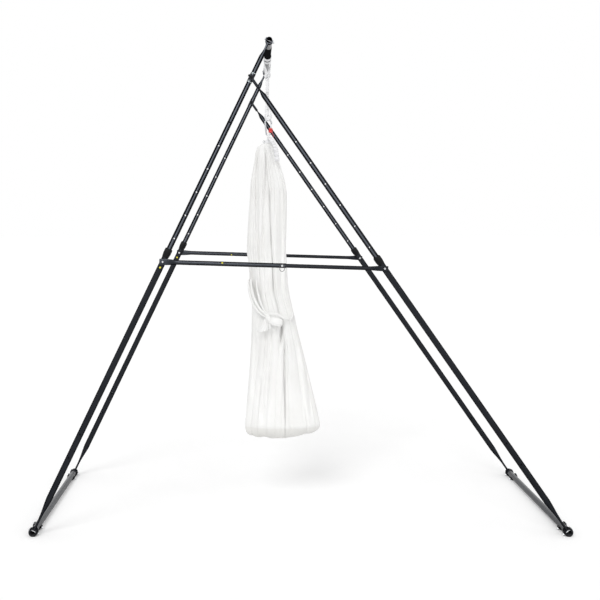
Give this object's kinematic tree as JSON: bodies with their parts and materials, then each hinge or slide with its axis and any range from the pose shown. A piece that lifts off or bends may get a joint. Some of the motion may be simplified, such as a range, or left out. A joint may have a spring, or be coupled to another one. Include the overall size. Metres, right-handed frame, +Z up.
{
  "type": "aerial yoga rig with hammock",
  "caption": "Portable aerial rig: telescoping A-frames with crossbars, base tubes and a top bar, with a cloth hammock on a locking carabiner.",
  "frame": {"origin": "on the floor, at the middle of the bounding box", "axes": "+X to the right as seen from the front, towards the base tube of the hinged legs; +Y to the back, along the top bar; +Z up"},
  "size_m": [3.1715, 1.2536, 2.9096],
  "materials": {
    "black_steel": "satin black powder coat",
    "black_plastic": "moulded, matte",
    "rubber": "matte",
    "zinc": "zinc plated",
    "steel": "polished steel",
    "red_alloy": "red anodised",
    "webbing": "woven polyester webbing",
    "cloth": "white knitted nylon"
  },
  "bodies": {
    "left_lower": {"left_base_tube": "black_steel", "left_end_foot_front": "rubber", "left_inner_foot_front": "rubber", "left_leg_bolt_front": "zinc", "left_foot_bolt_front": "zinc", "left_end_foot_back": "rubber", "left_inner_foot_back": "rubber", "left_leg_bolt_back": "zinc", "left_foot_bolt_back": "zinc", "left_lower_leg_front": "black_steel", "left_collar_front": "black_plastic", "left_clamp_bolt_front": "zinc", "left_clamp_nut_front": "zinc", "left_lower_leg_back": "black_steel", "left_collar_back": "black_plastic", "left_clamp_bolt_back": "zinc", "left_clamp_nut_back": "zinc"},
    "left_upper": {"top_bar": "black_steel", "left_upper_leg_front": "black_steel", "bar_bolt_front": "zinc", "pivot_bolt_front": "zinc", "left_upper_leg_back": "black_steel", "bar_bolt_back": "zinc", "pivot_bolt_back": "zinc", "bar_sleeve": "rubber"},
    "right_lower": {"right_base_tube": "black_steel", "right_end_foot_front": "rubber", "right_inner_foot_front": "rubber", "right_leg_bolt_front": "zinc", "right_foot_bolt_front": "zinc", "right_end_foot_back": "rubber", "right_inner_foot_back": "rubber", "right_leg_bolt_back": "zinc", "right_foot_bolt_back": "zinc", "right_lower_leg_front": "black_steel", "right_collar_front": "black_plastic", "right_clamp_nut_front": "zinc", "right_lower_leg_back": "black_steel", "right_collar_back": "black_plastic", "right_clamp_nut_back": "zinc"},
    "right_upper": {"right_upper_leg_front": "black_steel", "right_upper_leg_back": "black_steel"},
    "crossbar_outer": {"crossbar_outer_front": "black_steel", "crossbar_outer_back": "black_steel"},
    "crossbar_inner": {"crossbar_inner_front": "black_steel", "right_clamp_bolt_front": "zinc", "crossbar_inner_back": "black_steel", "right_clamp_bolt_back": "zinc"},
    "lock_pin_front": {"lock_pin_front": "zinc"},
    "lock_pin_ring_front": {"lock_pin_ring_front": "zinc"},
    "lock_pin_back": {"lock_pin_back": "zinc"},
    "lock_pin_ring_back": {"lock_pin_ring_back": "zinc"},
    "sling": {"sling": "webbing"},
    "carabiner": {"carabiner_body": "steel"},
    "gate": {"carabiner_gate": "steel"},
    "gate_sleeve": {"gate_sleeve": "red_alloy"},
    "hammock": {"hammock": "cloth", "hammock_choker": "webbing", "hammock_tie": "cloth"}
  },
  "joints": [
    {"name": "leg_height", "type": "slide", "parent": "left_upper", "child": "left_lower", "axis": [-0.4326, 0, -0.9016], "range_m": [-0.45, 0]},
    {"name": "right_leg_fold", "type": "hinge", "parent": "left_upper", "child": "right_upper", "pos_m": [-0.28766, 0, 2.668], "axis": [0, 1, 0], "range_deg": [0, 45]},
    {"name": "right_leg_height", "type": "slide", "parent": "right_upper", "child": "right_lower", "axis": [0.5721, 0, -0.8202], "range_m": [-0.513, 0]},
    {"name": "crossbar_swing", "type": "hinge", "parent": "left_lower", "child": "crossbar_outer", "pos_m": [-0.8021, 0, 1.596], "axis": [0, 1, 0], "range_deg": [0, 110.5]},
    {"name": "crossbar_slide", "type": "slide", "parent": "crossbar_outer", "child": "crossbar_inner", "axis": [0.9995, 0, -0.0302], "range_m": [-0.4885, 0]},
    {"name": "sling_swing", "type": "hinge", "parent": "left_upper", "child": "sling", "pos_m": [-0.184, 0, 2.884], "axis": [0, 1, 0], "range_deg": [-20, 20]},
    {"name": "carabiner_swing", "type": "hinge", "parent": "sling", "child": "carabiner", "pos_m": [-0.178, 0, 2.4845], "axis": [1, 0, 0], "range_deg": [-25, 25]},
    {"name": "hammock_swing", "type": "hinge", "parent": "carabiner", "child": "hammock", "pos_m": [-0.178, 0, 2.385], "axis": [-1, 0, 0], "range_deg": [-20, 20]},
    {"name": "gate_hinge", "type": "hinge", "parent": "carabiner", "child": "gate", "pos_m": [-0.16401, 0, 2.40596], "axis": [0, -1, 0], "range_deg": [0, 25], "stiffness_Nm_per_rad": 0.15, "springref_deg": -11.46},
    {"name": "gate_sleeve_slide", "type": "slide", "parent": "gate", "child": "gate_sleeve", "axis": [0.1136, 0, 0.9935], "range_m": [0, 0.023]},
    {"name": "lock_pin_slide_front", "type": "slide", "parent": "crossbar_outer", "child": "lock_pin_front", "axis": [0, -1, 0], "range_m": [0, 0.03]},
    {"name": "lock_pin_ring_swing_front", "type": "hinge", "parent": "lock_pin_front", "child": "lock_pin_ring_front", "pos_m": [-0.10941, -0.6191, 1.57505], "axis": [0, 1, 0], "range_deg": [-60, 60]},
    {"name": "lock_pin_slide_back", "type": "slide", "parent": "crossbar_outer", "child": "lock_pin_back", "axis": [0, 1, 0], "range_m": [0, 0.03]},
    {"name": "lock_pin_ring_swing_back", "type": "hinge", "parent": "lock_pin_back", "child": "lock_pin_ring_back", "pos_m": [-0.10941, 0.6191, 1.57505], "axis": [0, 1, 0], "range_deg": [-60, 60]}
  ],
  "couplings": [
    {"joint": "right_leg_height", "follows": "leg_height", "ratio": 1.1392},
    {"joint": "crossbar_slide", "follows": "leg_height", "ratio": 1.0849},
    {"joint": "crossbar_swing", "follows": "right_leg_fold", "ratio": 2.4444}
  ]
}
